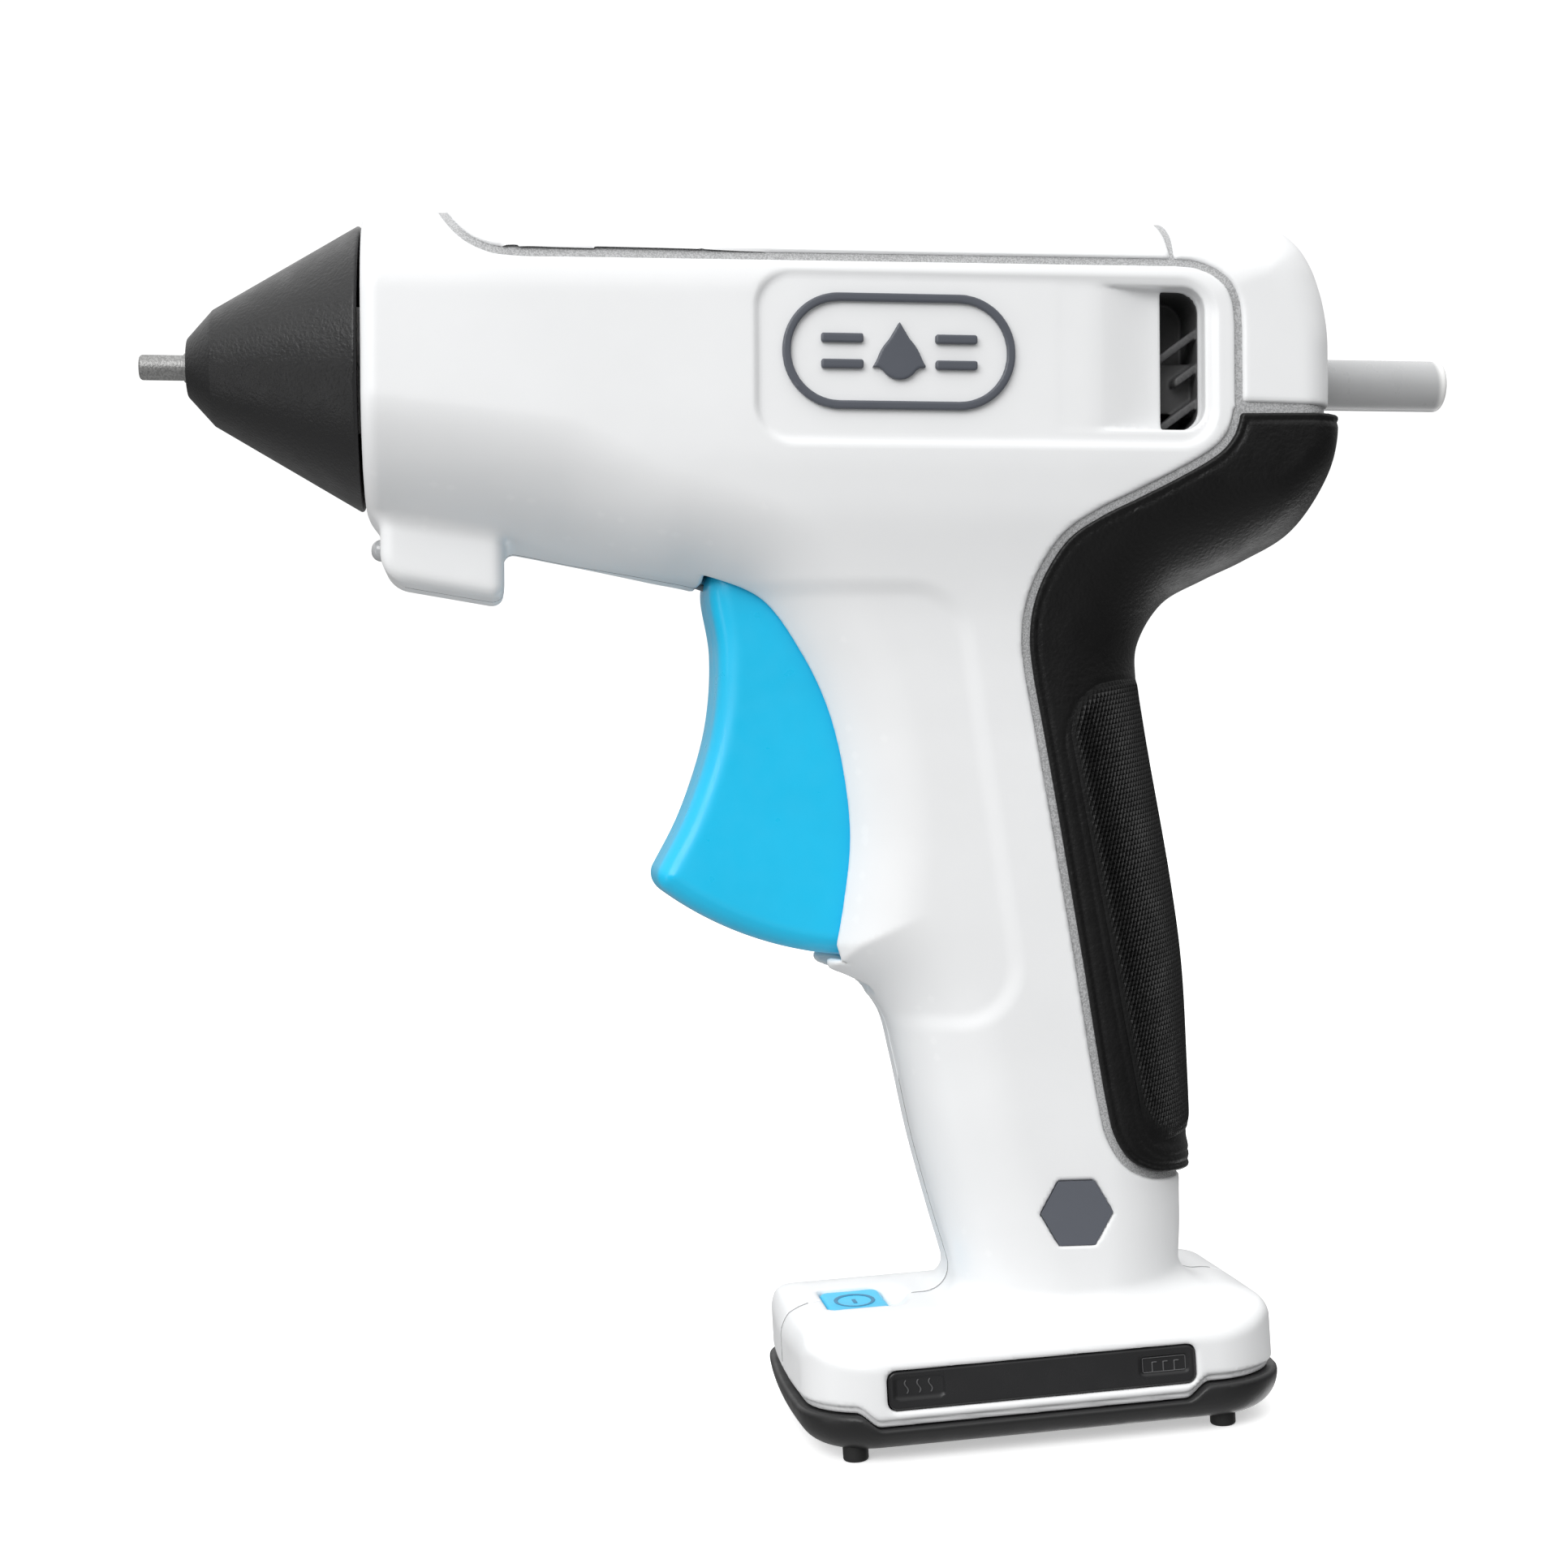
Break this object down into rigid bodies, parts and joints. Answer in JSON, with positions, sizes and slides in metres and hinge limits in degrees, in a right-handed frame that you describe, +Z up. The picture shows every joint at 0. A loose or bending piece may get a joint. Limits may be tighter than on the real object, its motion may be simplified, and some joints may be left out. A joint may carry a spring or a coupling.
{
  "type": "glue gun",
  "caption": "Cordless hot-melt glue gun with a cone nozzle, hinged trigger, rubber-backed handle, work light and a flat standing base.",
  "frame": {"origin": "on the floor, midway between the nozzle tip and the stick end, in the plane that parts the housing halves", "axes": "+Z up, -X towards the nozzle, -Y the left side"},
  "size_m": [0.1838, 0.0488, 0.1713],
  "materials": {
    "white_shell": "satin moulded white",
    "grey_trim": "fine spark-eroded grain",
    "grip_rubber": "soft matte overmould",
    "cone_plastic": "fine moulded grain, heat resistant",
    "tip_metal": "bead blasted",
    "cast_aluminium": "as cast",
    "ceramic": "white ceramic",
    "spring_steel": "plated",
    "heat_plastic": "glass filled",
    "silicone": "matte silicone",
    "inner_plastic": "acetal",
    "glue": "translucent hot-melt glue",
    "cyan_plastic": "satin moulded cyan",
    "led_lens": "diffusing lens",
    "circuit_board": "solder mask",
    "cell_sleeve": "shrink sleeve",
    "brass_plate": "nickel-plated tab",
    "base_plastic": "fine grain",
    "foot_rubber": "matte",
    "smoked_window": "smoked lens",
    "badge_grey": "printed grey",
    "vent_plastic": "dark grain"
  },
  "bodies": {
    "root": {"base_tray": "base_plastic", "battery_cell": "cell_sleeve", "battery_contacts": "brass_plate", "carriage_rails": "spring_steel", "charging_socket": "spring_steel", "control_board": "circuit_board", "feet": "foot_rubber", "front_collar": "heat_plastic", "front_plate": "inner_plastic", "grip_overmould": "grip_rubber", "heater_clip": "spring_steel", "housing_screws": "spring_steel", "indicator_leds": "led_lens", "indicator_window": "smoked_window", "inlet_sleeve": "silicone", "left_badge": "badge_grey", "left_housing": "white_shell", "left_inlay": "badge_grey", "left_vent_grille": "vent_plastic", "melt_chamber": "cast_aluminium", "nozzle_cone": "cone_plastic", "nozzle_tip": "tip_metal", "power_switch": "inner_plastic", "ptc_heater": "ceramic", "rear_cap": "white_shell", "return_spring": "spring_steel", "right_badge": "badge_grey", "right_housing": "white_shell", "right_inlay": "badge_grey", "right_vent_grille": "vent_plastic", "spine_frame": "grey_trim", "stick_guide": "inner_plastic", "thermal_fuse": "ceramic", "top_cover": "white_shell", "tray_screws": "spring_steel", "trigger_pin": "spring_steel", "worklight_board": "circuit_board", "worklight_led": "led_lens"},
    "trigger": {"trigger": "cyan_plastic"},
    "carriage": {"feed_carriage": "inner_plastic", "clamp_pin": "spring_steel"},
    "clamp": {"stick_clamp": "spring_steel"},
    "stick": {"rear_stick": "glue", "front_stick": "glue"},
    "button": {"power_button": "cyan_plastic"}
  },
  "joints": [
    {"name": "trigger_squeeze", "type": "hinge", "parent": "root", "child": "trigger", "pos_m": [0.00365, 0, 0.11145], "axis": [0, -1, 0], "range_deg": [0, 18], "stiffness_Nm_per_rad": 0.25, "springref_deg": -20.05},
    {"name": "carriage_slide", "type": "slide", "parent": "root", "child": "carriage", "axis": [-0.9985, 0, 0.0541], "range_m": [0, 0.0108], "deforming": ["return_spring"]},
    {"name": "clamp_tilt", "type": "hinge", "parent": "carriage", "child": "clamp", "pos_m": [0.01907, 0, 0.15117], "axis": [0, -1, 0], "range_deg": [0, 5]},
    {"name": "stick_feed", "type": "slide", "parent": "root", "child": "stick", "axis": [-0.9985, 0, 0.0541], "range_m": [0, 0.0108]},
    {"name": "button_press", "type": "slide", "parent": "root", "child": "button", "axis": [0, 0, -1], "range_m": [0, 0.0008], "stiffness_N_per_m": 200, "springref_m": -0.003}
  ],
  "couplings": [
    {"joint": "carriage_slide", "follows": "trigger_squeeze", "m_per_rad": 0.034182},
    {"joint": "clamp_tilt", "follows": "trigger_squeeze", "ratio": 0.2777},
    {"joint": "stick_feed", "follows": "trigger_squeeze", "m_per_rad": 0.034182}
  ]
}
